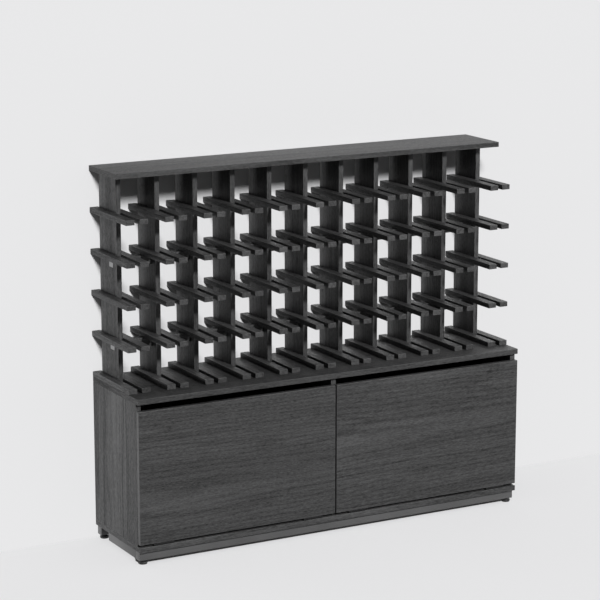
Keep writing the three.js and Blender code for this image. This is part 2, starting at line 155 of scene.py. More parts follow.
def black_oak():
    """Stained veneer: growth rings cut flat, pale and dark streaks, open pores, a few pin knots.

    The mesh attribute "grain" holds each point as (along, across, through) the board, in metres,
    "tint" the board's own tone, and "edge" how much paler a face is made: 1 on an eased edge as wear,
    2 more on the flaps' banded ends as a painted highlight, and 5 or more on bare wood.
    """
    m = Recipe(OAK)
    grain = m.node("ShaderNodeAttribute", attribute_name="grain").outputs["Vector"]
    tint = m.node("ShaderNodeAttribute", attribute_name="tint").outputs["Fac"]
    rub_and_highlight = m.node("ShaderNodeAttribute", attribute_name="edge").outputs["Fac"]
    parts = m.node("ShaderNodeSeparateXYZ", {0: grain}).outputs

    # Growth rings are tubes round a heart below the surface, and the board cuts them at a slant.
    wander = m.ramp(m.noise(grain, (1.1, 5.0, 5.0), 2.0), 0.0, 1.0, -0.035, 0.035)
    across = m.math("ADD", parts["Y"], wander)
    depth = m.math("ADD", parts["Z"], HEART_BELOW)
    squares = m.math("ADD", m.math("MULTIPLY", across, across), m.math("MULTIPLY", depth, depth))
    slanted = m.math("MULTIPLY_ADD", parts["X"], RING_SLANT, m.math("SQRT", squares))
    wobble = m.noise(grain, (4.0, 40.0, 40.0), 2.0)
    rings = m.math("MULTIPLY_ADD", slanted, RINGS_PER_METRE, m.math("MULTIPLY", wobble, 0.7))
    late = m.math("POWER", m.ramp(m.math("SINE", m.math("MULTIPLY", rings, math.tau)), -1.0, 1.0), 2.5)

    streaks = m.noise(grain, (26.0, 290.0, 290.0), 2.0, 0.6)
    flecks = m.noise(grain, (95.0, 520.0, 520.0), 2.0, 0.7)
    clouds = m.noise(grain, (1.1, 11.0, 11.0), 3.0, 0.55)
    level = m.math("ABSOLUTE", m.math("SUBTRACT", m.noise(grain, (0.9, 16.0, 16.0), 3.0, 0.4), 0.5))
    lines = m.math("MULTIPLY", m.ramp(level, 0.0, 0.045, 1.0, 0.0), m.ramp(clouds, 0.40, 0.60))
    pores = m.ramp(m.noise(grain, (55.0, 1500.0, 1500.0), 1.0), 0.56, 0.68)
    cells = m.node("ShaderNodeTexVoronoi", {"Vector": m.scaled(grain, (3.1, 8.0, 8.0)), "Scale": 1.0})
    knots = m.ramp(cells.outputs["Distance"], 0.020, 0.050, 1.0, 0.0)

    shade = m.ramp(streaks, 0.25, 0.75, -0.32, 0.32)
    shade = m.math("ADD", shade, m.ramp(flecks, 0.28, 0.72, -0.74, 0.74))
    shade = m.math("ADD", shade, m.ramp(clouds, 0.30, 0.70, -0.50, 0.50))
    shade = m.math("SUBTRACT", shade, m.math("MULTIPLY", lines, 0.65))
    shade = m.math("SUBTRACT", shade, m.math("MULTIPLY", late, 0.35))
    shade = m.math("SUBTRACT", shade, m.math("MULTIPLY", pores, 0.40))
    shade = m.math("SUBTRACT", shade, m.math("MULTIPLY", knots, 0.9))
    # Eased edges come out paler as wear; on the flaps' banded ends the extra paleness is a painted
    # highlight.
    shade = m.math("ADD", shade, m.math("MULTIPLY", rub_and_highlight, 0.5))
    light = m.math("MULTIPLY", m.ramp(shade, -1.2, 1.2), tint)
    stained = m.blend(light, grey(STAIN_DARK), grey(STAIN_LIGHT))
    bare = m.ramp(rub_and_highlight, BANDED, UNSTAINED)
    m.feed(m.shader.inputs["Base Color"], m.blend(bare, stained, grey(BARE_WOOD)))

    m.feed(m.shader.inputs["Roughness"], m.ramp(shade, -1.0, 1.0, 0.62, 0.42))
    m.shader.inputs["Specular IOR Level"].default_value = OILED_GLOSS
    relief = m.math("SUBTRACT", flecks, m.math("MULTIPLY", pores, 0.8))
    relief = m.math("SUBTRACT", relief, m.math("MULTIPLY", late, 0.25))
    m.bump(relief, 0.55, 0.00025)
    return m.material


def coated_metal(name, dark, light, roughness, metalness, grit, gloss=0.5):
    """Powder coat or plating: uneven tone and a pebbled surface, grit being its bumps per metre."""
    m = Recipe(name)
    place = m.node("ShaderNodeTexCoord").outputs["Object"]
    clouds = m.noise(place, (9.0, 9.0, 9.0), 4.0)
    specks = m.noise(place, (grit, grit, grit), 2.0)
    tone = m.math("MULTIPLY_ADD", specks, 0.35, m.math("MULTIPLY", clouds, 0.65))
    m.feed(m.shader.inputs["Base Color"], m.blend(m.ramp(tone, 0.3, 0.7), grey(dark), grey(light)))
    m.feed(m.shader.inputs["Roughness"], m.ramp(clouds, 0.3, 0.7, roughness - 0.06, roughness + 0.08))
    m.shader.inputs["Metallic"].default_value = metalness
    m.shader.inputs["Specular IOR Level"].default_value = gloss
    m.bump(specks, 0.25, 0.0001)
    return m.material


def moulded_plastic():
    """Black moulded plastic with a fine spark-eroded texture and dusty patches."""
    m = Recipe(PLASTIC)
    place = m.node("ShaderNodeTexCoord").outputs["Object"]
    texture = m.noise(place, (2600.0, 2600.0, 2600.0), 2.0)
    dust = m.noise(place, (60.0, 60.0, 60.0), 3.0)
    m.feed(m.shader.inputs["Base Color"], m.blend(m.ramp(dust, 0.35, 0.8), grey(0.006), grey(0.020)))
    m.feed(m.shader.inputs["Roughness"], m.ramp(dust, 0.3, 0.7, 0.42, 0.6))
    m.bump(texture, 0.3, 0.00005)
    return m.material


materials = {
    OAK: black_oak(),
    PAINT: coated_metal(PAINT, 0.050, 0.072, 0.42, 0.0, 700.0),
    # Near-black: the hinge knuckles in the gap under the flaps are darkened to read as that gap's shade, a
    # painted shade; pins, screws and stays share this steel.
    STEEL: coated_metal(STEEL, 0.004, 0.009, 0.60, 0.0, 900.0, 0.15),
    BRIGHT: coated_metal(BRIGHT, 0.42, 0.60, 0.30, 1.0, 1200.0),
    PLASTIC: moulded_plastic(),
}


# ---------------------------------------------------------------- mesh helpers

def add_piece(name, shape, body, slot, nodes=(), smooth_angle=None):
    """Turns a bmesh into a piece that rides on a body, wears a slot's material and stands for nodes."""
    mesh = bpy.data.meshes.new(name)
    bmesh.ops.recalc_face_normals(shape, faces=shape.faces)
    shape.to_mesh(mesh)
    shape.free()
    mesh.materials.append(materials[slot])
    piece = bpy.data.objects.new(name, mesh)
    bpy.context.scene.collection.objects.link(piece)
    if smooth_angle is not None:
        mesh.shade_smooth()
        mesh.set_sharp_from_angle(angle=math.radians(smooth_angle))
    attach(piece, body)
    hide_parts(*nodes)
    return piece


def cut(piece, cutters):
    """Subtracts bmesh shapes from a piece and applies the result."""
    tools = []
    for shape in cutters:
        mesh = bpy.data.meshes.new("cutter")
        bmesh.ops.recalc_face_normals(shape, faces=shape.faces)
        shape.to_mesh(mesh)
        shape.free()
        tool = bpy.data.objects.new("cutter", mesh)
        bpy.context.scene.collection.objects.link(tool)
        tools.append(tool)
        modifier = piece.modifiers.new("cut", "BOOLEAN")
        modifier.object = tool
        modifier.solver = "EXACT"
    bpy.context.view_layer.update()
    evaluated = piece.evaluated_get(bpy.context.evaluated_depsgraph_get())
    result = bpy.data.meshes.new_from_object(evaluated)
    piece.modifiers.clear()
    old = piece.data
    piece.data = result
    bpy.data.meshes.remove(old)
    for tool in tools:
        bpy.data.objects.remove(tool)


def box_shape(lo, hi, bevel=0.0, segments=2):
    """A box between two corners with its edges rounded over."""
    lo, hi = Vector(lo), Vector(hi)
    shape = bmesh.new()
    bmesh.ops.create_cube(shape, size=1.0)
    bmesh.ops.scale(shape, vec=hi - lo, verts=shape.verts)
    bmesh.ops.translate(shape, vec=(lo + hi) / 2, verts=shape.verts)
    if bevel:
        bmesh.ops.bevel(
            shape, geom=shape.edges[:], offset=bevel, segments=segments, profile=0.5, affect="EDGES"
        )
    return shape


ON_AXIS = 1e-7  # a point of an outline nearer than this to the axis is a pole


def lathe_shape(profile, centre, axis, segments):
    """Turns a closed or axis-to-axis outline of (radius, height) points about an X or Z axis."""
    shape = bmesh.new()
    rings = []
    for radius, height in profile:
        if radius < ON_AXIS:
            rings.append([shape.verts.new((0, 0, height))])
            continue
        turns = [math.tau * i / segments for i in range(segments)]
        rings.append([shape.verts.new((radius * math.cos(t), radius * math.sin(t), height)) for t in turns])
    closed = profile[0][0] > ON_AXIS
    pairs = list(zip(rings, rings[1:])) + ([(rings[-1], rings[0])] if closed else [])
    for low, high in pairs:
        for i in range(segments):
            j = (i + 1) % segments
            corners = [low[i % len(low)], low[j % len(low)], high[j % len(high)], high[i % len(high)]]
            shape.faces.new(list(dict.fromkeys(corners)))  # a pole comes up twice and counts once
    turn = Matrix.Rotation(math.pi / 2, 4, "Y") if axis == X else Matrix()
    shape.transform(Matrix.Translation(centre) @ turn)
    return shape


def slab_shape(outline, thickness, place, bevel=0.0):
    """A closed (y, z) outline made into a slab along X, centred on the place."""
    shape = bmesh.new()
    verts = [shape.verts.new((-thickness / 2, y, z)) for y, z in outline]
    face = shape.faces.new(verts)
    grown = bmesh.ops.extrude_face_region(shape, geom=[face])
    moved = [v for v in grown["geom"] if isinstance(v, bmesh.types.BMVert)]
    bmesh.ops.translate(shape, vec=(thickness, 0, 0), verts=moved)
    if bevel:
        rims = [e for e in shape.edges if e.verts[0].co.x == e.verts[1].co.x]
        bmesh.ops.bevel(shape, geom=rims, offset=bevel, segments=2, profile=0.5, affect="EDGES")
    shape.transform(place)
    return shape


def joined(shapes):
    """Several closed shapes in one bmesh."""
    whole = bmesh.new()
    for shape in shapes:
        mesh = bpy.data.meshes.new("part")
        shape.to_mesh(mesh)
        shape.free()
        whole.from_mesh(mesh)
        bpy.data.meshes.remove(mesh)
    return whole


FLAT_FACE = 0.97  # a face whose normal is nearer than this to an axis isn't part of an edge
HEART_SPANS = ((-3.0, 3.0), (-0.13, 0.13), (0.0, 0.04))  # where in the log a board was cut
TINT_SPAN = (0.86, 1.14)


def lay_grain(piece, along, banded, heart=None, tint=None, band_light=0.0):
    """Stores the board's grain directions, its own tone and its eased edges as mesh attributes.

    banded ends carry a strip of edge veneer whose grain follows the edge; other ends show end grain.
    band_light makes that strip paler than the board: a painted highlight on the flaps, bare wood on the tie
    rails.
    """
    mesh = piece.data
    lo = Vector(min(v.co[k] for v in mesh.vertices) for k in (X, Y, Z))
    hi = Vector(max(v.co[k] for v in mesh.vertices) for k in (X, Y, Z))
    size = hi - lo
    rest = [k for k in (X, Y, Z) if k != along]
    across, through = sorted(rest, key=lambda k: -size[k])
    if heart is None:
        heart = tuple(rng.uniform(*span) for span in HEART_SPANS)
    if tint is None:
        tint = rng.uniform(*TINT_SPAN)
    middle = (lo + hi) / 2

    places, wear_and_highlight = [], []
    for face in mesh.polygons:
        n = face.normal
        facing = max((X, Y, Z), key=lambda k: abs(n[k]))
        axes = (along, across, through)
        edge_rub_and_highlight = 1.0 if abs(n[facing]) < FLAT_FACE else 0.0
        if banded and facing == along:
            axes = (across, through, along)
            # banded ends paler still: a painted highlight on the flaps, bare wood on the tie rails
            edge_rub_and_highlight += band_light
        for corner in face.loop_indices:
            p = mesh.vertices[mesh.loops[corner].vertex_index].co - middle
            places += [p[axes[i]] + heart[i] for i in range(3)]
            wear_and_highlight.append(edge_rub_and_highlight)
    for name, kind, domain in (("grain", "FLOAT_VECTOR", "CORNER"), ("edge", "FLOAT", "CORNER"),
                               ("tint", "FLOAT", "POINT")):
        mesh.attributes.new(name, kind, domain)
    mesh.attributes["grain"].data.foreach_set("vector", places)
    mesh.attributes["edge"].data.foreach_set("value", wear_and_highlight)
    mesh.attributes["tint"].data.foreach_set("value", [tint] * len(mesh.vertices))


EASED = 0.8 * MM  # how far a board's edges are rounded


def add_board(name, lo, hi, along, nodes, body="rack", banded=True, bevel=EASED, **looks):
    """A board between two corners, its grain along an axis."""
    piece = add_piece(name, box_shape(lo, hi, bevel), body, OAK, nodes)
    lay_grain(piece, along, banded, **looks)


def board_for(node, along, body="rack", **looks):
    """A board as large as the node that it stands for."""
    lo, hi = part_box(node)
    add_board(f"{node}_board", lo, hi, along, [node], body, **looks)


# ---------------------------------------------------------------- screws

HEAD_RADIUS, HEAD_HEIGHT, HEAD_RIM = 2.9 * MM, 1.0 * MM, 0.35  # the rim's share of the height
CROSS_ARM, CROSS_HALF, CROSS_FLOOR = 1.7 * MM, 0.35 * MM, 0.35 * MM


def screw_mesh():
    """A raised head with a cross recess, its top towards +Z, made once and shared by every screw."""
    dome = [(0.0, HEAD_HEIGHT)]
    for i in range(1, 6):
        a = math.pi / 2 * i / 5
        dome.append((HEAD_RADIUS * math.sin(a), HEAD_HEIGHT * (HEAD_RIM + (1 - HEAD_RIM) * math.cos(a))))
    dome += [(HEAD_RADIUS * 0.96, 0.0), (0.0, 0.0)]
    shape = lathe_shape(dome, (0, 0, 0), Z, 20)
    mesh = bpy.data.meshes.new("screw")
    bmesh.ops.recalc_face_normals(shape, faces=shape.faces)
    shape.to_mesh(mesh)
    shape.free()
    mesh.materials.append(materials[STEEL])
    carrier = bpy.data.objects.new("screw_carrier", mesh)
    bpy.context.scene.collection.objects.link(carrier)
    above = 3 * HEAD_HEIGHT
    cut(carrier, [
        box_shape((-CROSS_ARM, -CROSS_HALF, CROSS_FLOOR), (CROSS_ARM, CROSS_HALF, above)),
        box_shape((-CROSS_HALF, -CROSS_ARM, CROSS_FLOOR), (CROSS_HALF, CROSS_ARM, above)),
    ])
    made = carrier.data
    bpy.data.objects.remove(carrier)
    return made


screw = screw_mesh()


def add_screw(name, place, facing, body):
    """A screw head at a place on a surface, facing the given direction."""
    piece = bpy.data.objects.new(name, screw)
    bpy.context.scene.collection.objects.link(piece)
    turn = Vector(facing).to_track_quat("Z", "Y").to_matrix().to_4x4()
    twist = Matrix.Rotation(rng.uniform(0, math.pi / 2), 4, "Z")
    piece.matrix_world = Matrix.Translation(place) @ turn @ twist
    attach(piece, body)


# ---------------------------------------------------------------- rack

RAIL_HEIGHT = 14 * MM
UPRIGHT_HALF = 7 * MM
UPRIGHTS, ROWS = 11, 5
TIE_RAILS = ("upper_tie_rail", "lower_tie_rail")
SLOT_ROOM = 0.3 * MM  # between a tie rail and its slot


def upright_faces(node):
    """Front and rear of a bottle frame's upright, read off its top face."""
    points = [v.co for v in frame["nodes"][node].data.vertices]
    top = max(p.z for p in points)
    depths = [p.y for p in points if abs(p.z - top) < 0.01 * MM]
    return min(depths), max(depths)


def build_bottle_frame(index):
    """An upright with slots for the two tie rails, and a rail on each side of it in each row."""
    node = f"bottle_frame_{index:02d}"
    lo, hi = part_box(node)
    middle = (lo.x + hi.x) / 2
    front, rear = upright_faces(node)
    up_lo = Vector((middle - UPRIGHT_HALF, front, lo.z))
    up_hi = Vector((middle + UPRIGHT_HALF, rear, hi.z))
    upright = add_piece(f"upright_{index:02d}", box_shape(up_lo, up_hi, EASED), "rack", OAK, [node])
    slots = []
    for tie in TIE_RAILS:
        tie_lo, tie_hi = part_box(tie)
        room = Vector((0, SLOT_ROOM, SLOT_ROOM))
        low, high = tie_lo - room, tie_hi + room
        low.x, high.x = up_lo.x - 1 * MM, up_hi.x + 1 * MM
        slots.append(box_shape(low, high))
    cut(upright, slots)
    lay_grain(upright, Z, False)

    shelf_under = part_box("top_shelf")[0].z
    cabinet_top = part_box("cabinet_top_board")[1].z
    pitch = (shelf_under - cabinet_top) / ROWS
    for row in range(1, ROWS + 1):
        under = cabinet_top + (ROWS - row) * pitch
        top = under + RAIL_HEIGHT
        under = max(under, lo.z)
        for side, x0, x1 in (("left", lo.x, up_lo.x), ("right", up_hi.x, hi.x)):
            add_board(
                f"rail_row{row}_{index:02d}_{side}",
                (x0, lo.y, under), (x1, hi.y, top), Y, [node], banded=False,
            )


def build_rack():
    """The bottle frames, the tie rails with the bare wood of their sawn ends, and the shelf."""
    for index in range(1, UPRIGHTS + 1):
        build_bottle_frame(index)
    for node in TIE_RAILS:
        board_for(node, X, bevel=0.5 * MM, band_light=UNSTAINED)
    board_for("top_shelf", X, tint=0.8)


# ---------------------------------------------------------------- cupboard

def build_cupboard():
    board_for("cabinet_top_board", X, tint=0.85)
    board_for("cabinet_bottom_board", X)
    board_for("left_side_panel", Z)
    board_for("right_side_panel", Z)
    board_for("centre_divider", Z)
    board_for("back_panel", X, bevel=0.3 * MM)
    # band_light=2.0 pales the flaps' banded ends: a painted highlight where their edges catch the light.
    board_for("left_flap", X, "left_flap", heart=(0.35, 0.045, 0.0), tint=1.0, band_light=2.0)
    board_for("right_flap", X, "right_flap", heart=(1.65, -0.030, 0.01), tint=0.97, band_light=2.0)


# ---------------------------------------------------------------- hinges

KNUCKLE_RADIUS = 3.1 * MM
PIN_RADIUS, PIN_BORE, PIN_CHAMFER = 1.5 * MM, 1.6 * MM, 0.3 * MM
LEAF_SHEET, LEAF_CLEAR = 1.2 * MM, 0.4 * MM  # clear of the other leaf's knuckles
HINGE_LENGTH, KNUCKLES, KNUCKLE_GAP = 60 * MM, 5, 0.3 * MM
HINGE_SCREWS, HEAD_SUNK = (-20 * MM, 0.0, 20 * MM), 0.3 * MM


def hinge_leaf(node, body, axis_y, axis_z, first):
    """A folded sheet leaf: a plate and every other knuckle round the pin, counted from the first.

    The leaf with knuckle 0 is the lower one, on the board, and its three screws show.
    """
    lo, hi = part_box(node)
    lower = first == 0
    z0 = axis_z - KNUCKLE_RADIUS if lower else axis_z + KNUCKLE_RADIUS - LEAF_SHEET
    z1 = z0 + LEAF_SHEET
    near_y = axis_y + KNUCKLE_RADIUS + LEAF_CLEAR
    middle_x = (lo.x + hi.x) / 2
    shapes = [box_shape((lo.x, near_y, z0), (hi.x, hi.y, z1), 0.25 * MM)]
    step = HINGE_LENGTH / KNUCKLES
    thinner = 0.02 * MM  # so that no face of a knuckle's neck lies in a face of the plate
    for i in range(first, KNUCKLES, 2):
        x0 = middle_x - HINGE_LENGTH / 2 + i * step + KNUCKLE_GAP / 2
        x1 = x0 + step - KNUCKLE_GAP
        neck_lo = (x0, axis_y + 1.7 * MM, z0 + thinner)
        neck_hi = (x1, near_y + 0.4 * MM, z1 - thinner)
        shapes.append(box_shape(neck_lo, neck_hi))
        ring = [(PIN_BORE, x0), (KNUCKLE_RADIUS, x0), (KNUCKLE_RADIUS, x1), (PIN_BORE, x1)]
        shapes.append(lathe_shape(ring, (0, axis_y, axis_z), X, 28))
    add_piece(f"{node}_plate", joined(shapes), body, STEEL, [node], 35)
    if lower:
        for k, dx in enumerate(HINGE_SCREWS):
            place = (middle_x + dx, (near_y + hi.y) / 2, z1 - HEAD_SUNK)
            add_screw(f"{node}_screw_{k + 1}", place, (0, 0, 1), body)


def build_hinges():
    pivots = {j["name"]: j["pos_m"] for j in frame["joints"] if j["type"] == "hinge"}
    for side, _ in SIDES:
        _, axis_y, axis_z = pivots[f"{side}_flap_hinge"]
        for where in ("outer", "inner"):
            name = f"{side}_{where}_hinge"
            hinge_leaf(f"{name}_board_leaf", "rack", axis_y, axis_z, 0)
            hinge_leaf(f"{name}_flap_leaf", f"{side}_flap", axis_y, axis_z, 1)
            lo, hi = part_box(f"{name}_pin")
            r, c = PIN_RADIUS, PIN_CHAMFER
            outline = [(0, lo.x), (r - c, lo.x), (r, lo.x + c), (r, hi.x - c), (r - c, hi.x), (0, hi.x)]
            shape = lathe_shape(outline, (0, axis_y, axis_z), X, 20)
            add_piece(f"{name}_pin_turned", shape, "rack", STEEL, [f"{name}_pin"], 40)


# ---------------------------------------------------------------- stays and catches

def give_finish(node, slot):
    """Puts a slot's material on a CAD node that keeps its own shape."""
    mesh = frame["nodes"][node].data
    mesh.materials.clear()
    mesh.materials.append(materials[slot])


STAY_SHEET = 2.5 * MM
PLATE_SCREWS, BRACKET_SCREWS = (-17 * MM, 17 * MM), (-15 * MM, 0.0, 15 * MM)  # up and down from the middle
BRACKET_SCREW_INSET = 12 * MM


def build_stays():
    for side, sign in SIDES:
        for part in ("arm", "sleeve", "side_plate", "flap_bracket"):
            give_finish(f"{side}_stay_{part}", STEEL)
        plate_lo, plate_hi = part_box(f"{side}_stay_side_plate")
        inner_x = plate_lo.x + STAY_SHEET if sign < 0 else plate_hi.x - STAY_SHEET
        mid_y = (plate_lo.y + plate_hi.y) / 2
        for k, dz in enumerate(PLATE_SCREWS):
            z = (plate_lo.z + plate_hi.z) / 2 + dz
            add_screw(f"{side}_stay_side_plate_screw_{k + 1}", (inner_x + sign * 0.1 * MM, mid_y, z),
                      (-sign, 0, 0), "rack")
        lo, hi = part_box(f"{side}_stay_flap_bracket")
        base_y = lo.y + STAY_SHEET
        base_x = lo.x + BRACKET_SCREW_INSET if sign > 0 else hi.x - BRACKET_SCREW_INSET
        for k, dz in enumerate(BRACKET_SCREWS):
            z = (lo.z + hi.z) / 2 + dz
            add_screw(f"{side}_stay_flap_bracket_screw_{k + 1}", (base_x, base_y - 0.1 * MM, z),
                      (0, 1, 0), f"{side}_flap")


MOUTH_RIM, MOUTH_ENDS, MOUTH_DEPTH = 3 * MM, 5 * MM, 1.5 * MM
POLE_WIDTH, POLE_SUNK, POLE_LENGTH = 1.5 * MM, 0.2 * MM, 5.8 * MM
POLE_BESIDE, POLE_ABOVE = 0.6 * MM, 0.5 * MM  # room between a pole and the mouth's rim


def build_catches():
    """A pressed plate on each flap, and a magnet whose two poles stand in a shallow mouth."""
    for side, _ in SIDES:
        plate_lo, plate_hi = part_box(f"{side}_catch_plate")
        plate = box_shape(plate_lo, plate_hi, 0.3 * MM)
        add_piece(f"{side}_catch_plate_pressed", plate, f"{side}_flap", BRIGHT, [f"{side}_catch_plate"])
        lo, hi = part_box(f"{side}_catch_magnet")
        body = add_piece(f"{side}_catch_magnet_body", box_shape(lo, hi, 1.0 * MM, 3), "rack", PLASTIC,
                         [f"{side}_catch_magnet"])
        cut(body, [box_shape(
            (lo.x + MOUTH_RIM, lo.y - 1 * MM, lo.z + MOUTH_ENDS),
            (hi.x - MOUTH_RIM, lo.y + MOUTH_DEPTH, hi.z - MOUTH_ENDS),
        )])
        beside, above = MOUTH_RIM + POLE_BESIDE, MOUTH_ENDS + POLE_ABOVE
        for k, x in enumerate((lo.x + beside, hi.x - beside - POLE_WIDTH)):
            near, far = lo.y + POLE_SUNK, lo.y + POLE_SUNK + POLE_LENGTH
            pole = box_shape((x, near, lo.z + above), (x + POLE_WIDTH, far, hi.z - above), 0.2 * MM)
            add_piece(f"{side}_catch_pole_{k + 1}", pole, "rack", BRIGHT)


# ---------------------------------------------------------------- plinth and feet

def tube_outline(y0, y1, z0, z1, radius, steps=5):
    """A rounded square as (y, z) points."""
    points = []
    corners = ((y1 - radius, z1 - radius, 0), (y0 + radius, z1 - radius, 1),
               (y0 + radius, z0 + radius, 2), (y1 - radius, z0 + radius, 3))
    for cy, cz, quarter in corners:
        for i in range(steps + 1):
            a = math.pi / 2 * (quarter + i / steps)
            points.append((cy + radius * math.cos(a), cz + radius * math.sin(a)))
    return points


TUBE_WALL, TUBE_CORNER, TUBE_INSIDE_CORNER = 2 * MM, 2.5 * MM, 0.8 * MM
INSERT_HOLE = 7 * MM


def build_plinth():
    """Hollow square tubes: the long ones closed at their ends and holed for the inserts."""
    wall, corner, inner = TUBE_WALL, TUBE_CORNER, TUBE_INSIDE_CORNER
    feet = [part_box(f"foot_insert_{p}") for p in ("front_left", "front_right", "rear_left", "rear_right")]
    for place in ("front", "rear"):
        node = f"plinth_{place}_bar"
        lo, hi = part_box(node)
        middle = Matrix.Translation(((lo.x + hi.x) / 2, 0, 0))
        outer = slab_shape(tube_outline(lo.y, hi.y, lo.z, hi.z, corner), hi.x - lo.x, middle, 0.5 * MM)
        bar = add_piece(f"{node}_tube", outer, "rack", PAINT, [node], 30)
        inside = tube_outline(lo.y + wall, hi.y - wall, lo.z + wall, hi.z - wall, inner, 2)
        cutters = [slab_shape(inside, hi.x - lo.x - 2 * wall, middle)]
        for foot_lo, foot_hi in feet:
            y = (foot_lo.y + foot_hi.y) / 2
            if lo.y < y < hi.y:
                x = (foot_lo.x + foot_hi.x) / 2
                below, above = -1 * MM, 3.5 * MM
                hole = [(0, below), (INSERT_HOLE, below), (INSERT_HOLE, above), (0, above)]
                cutters.append(lathe_shape(hole, (x, y, lo.z), Z, 32))
        cut(bar, cutters)
    for side, _ in SIDES:
        node = f"plinth_{side}_bar"
        lo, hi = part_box(node)
        middle = Matrix.Translation(((lo.x + hi.x) / 2, (lo.y + hi.y) / 2, 0))
        turn = middle @ Matrix.Rotation(math.pi / 2, 4, "Z")
        half = (hi.x - lo.x) / 2
        outer = slab_shape(tube_outline(-half, half, lo.z, hi.z, corner), hi.y - lo.y, turn, 0.3 * MM)
        bar = add_piece(f"{node}_tube", outer, "rack", PAINT, [node], 30)
        inside = tube_outline(-half + wall, half - wall, lo.z + wall, hi.z - wall, inner, 2)
        cut(bar, [slab_shape(inside, hi.y - lo.y + 4 * MM, turn)])


STEM_RADIUS, THREAD_PITCH, THREAD_DEPTH = 3.9 * MM, 1.25 * MM, 0.55 * MM
POINT_LENGTH, POINT_SHARE = 1.2 * MM, 0.86  # the stem's lead-in, and how slim it ends


def threaded_stem(place, bottom, top):
    """A screw thread as a rolled surface, closed at both ends."""
    around, per_turn = 24, 8
    rows = int((top - bottom) / THREAD_PITCH * per_turn)
    shape = bmesh.new()
    rings = []
    for row in range(rows + 1):
        z = bottom + (top - bottom) * row / rows
        ring = []
        for i in range(around):
            turn = i / around
            phase = (z / THREAD_PITCH - turn) % 1.0
            groove = THREAD_DEPTH * abs(2 * phase - 1)
            fade = min(1.0, (top - z) / POINT_LENGTH)
            r = (STEM_RADIUS - groove) * (POINT_SHARE + (1 - POINT_SHARE) * fade)
            a = math.tau * turn
            ring.append(shape.verts.new((place[0] + r * math.cos(a), place[1] + r * math.sin(a), z)))
        rings.append(ring)
    for low, high in zip(rings, rings[1:]):
        for i in range(around):
            j = (i + 1) % around
            shape.faces.new((low[i], low[j], high[j], high[i]))
    shape.faces.new(list(reversed(rings[0])))
    shape.faces.new(rings[-1])
    return shape


PAD_RIBS, RIB_DEPTH = 48, 0.35 * MM
NECK_SHARE, NECK_END_SHARE = 0.52, 0.48
PAD_OUTLINE = (  # share of the pad's radius, millimetres above its sole
    (0.84, 0.0), (0.93, 0.6), (0.97, 2.0), (1.0, 3.2),
    (1.0, 6.4), (0.96, 7.2), (0.60, 8.0), (NECK_SHARE, 8.6),
)


def build_feet():
    """Moulded pads with a ribbed rim on threaded stems, in turned inserts."""
    for place in ("front_left", "front_right", "rear_left", "rear_right"):
        node = f"foot_{place}"
        lo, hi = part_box(node)
        x, y = (lo.x + hi.x) / 2, (lo.y + hi.y) / 2
        r = (hi.x - lo.x) / 2
        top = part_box("plinth_front_bar")[0].z - 0.3 * MM
        outline = [(0, lo.z)] + [(r * share, lo.z + height * MM) for share, height in PAD_OUTLINE]
        outline += [(r * NECK_SHARE, top - 0.3 * MM), (r * NECK_END_SHARE, top), (0, top)]
        pad = lathe_shape(outline, (x, y, 0), Z, PAD_RIBS)
        for v in pad.verts:
            radial = Vector((v.co.x - x, v.co.y - y))
            if radial.length > r * 0.985:
                turn = math.atan2(radial.y, radial.x)
                notch = RIB_DEPTH if round(turn / math.tau * PAD_RIBS) % 2 else 0.0
                scale = (radial.length - notch) / radial.length
                v.co.x, v.co.y = x + radial.x * scale, y + radial.y * scale
        add_piece(f"{node}_pad", pad, node, PLASTIC, [node], 25)
        stem = threaded_stem((x, y), top - 0.5 * MM, hi.z)
        add_piece(f"{node}_stem", stem, node, BRIGHT, [node], 60)
        build_insert(f"foot_insert_{place}")


def build_insert(node):
    """A turned insert with chamfered mouths and two full bands with a waist between them."""
    lo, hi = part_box(node)
    x, y = (lo.x + hi.x) / 2, (lo.y + hi.y) / 2
    outer, bore, chamfer = 6.7 * MM, 3.98 * MM, 0.4 * MM
    waist = outer - 0.5 * MM
    fifth = (hi.z - lo.z) / 5
    outline = [
        (bore + chamfer, lo.z), (outer - chamfer, lo.z), (outer, lo.z + chamfer), (outer, lo.z + 2 * fifth),
        (waist, lo.z + 2.2 * fifth), (waist, lo.z + 2.8 * fifth), (outer, lo.z + 3 * fifth),
        (outer, hi.z - chamfer), (outer - chamfer, hi.z), (bore + chamfer, hi.z), (bore, hi.z - chamfer),
        (bore, lo.z + chamfer),
    ]
    add_piece(f"{node}_turned", lathe_shape(outline, (x, y, 0), Z, 40), "rack", BRIGHT, [node], 30)


# ---------------------------------------------------------------- stage

FLOOR_SIZE, WALL_SIZE, WALL_GAP = (60.0, 60.0), (30.0, 6.0), 2 * MM
WORLD_LIGHT = 0.20
WALL_SUN = (-17.0, 27.6, 10.0, 5.85)  # azimuth, elevation, width, strength
FLOOR_SUN = (-20.0, 33.0, 3.5, 4.45)
LAMPS_AIM = (0.0, 0.0, 0.7)
LAMPS = (  # name, place, size, power
    ("key", (0.81, -5.8, 3.65), (0.6, 0.6), 560.0),
    ("left", (-4.2, 1.0, 0.4), (2.4, 1.2), 230.0),
    ("right", (4.5, -1.0, 2.4), (2.4, 2.4), 80.0),
    ("behind", (3.0, 4.8, 0.55), (2.4, 0.8), 90.0),
    ("sheen", (3.5, 4.5, 2.8), (2.4, 2.4), 34.0),
)


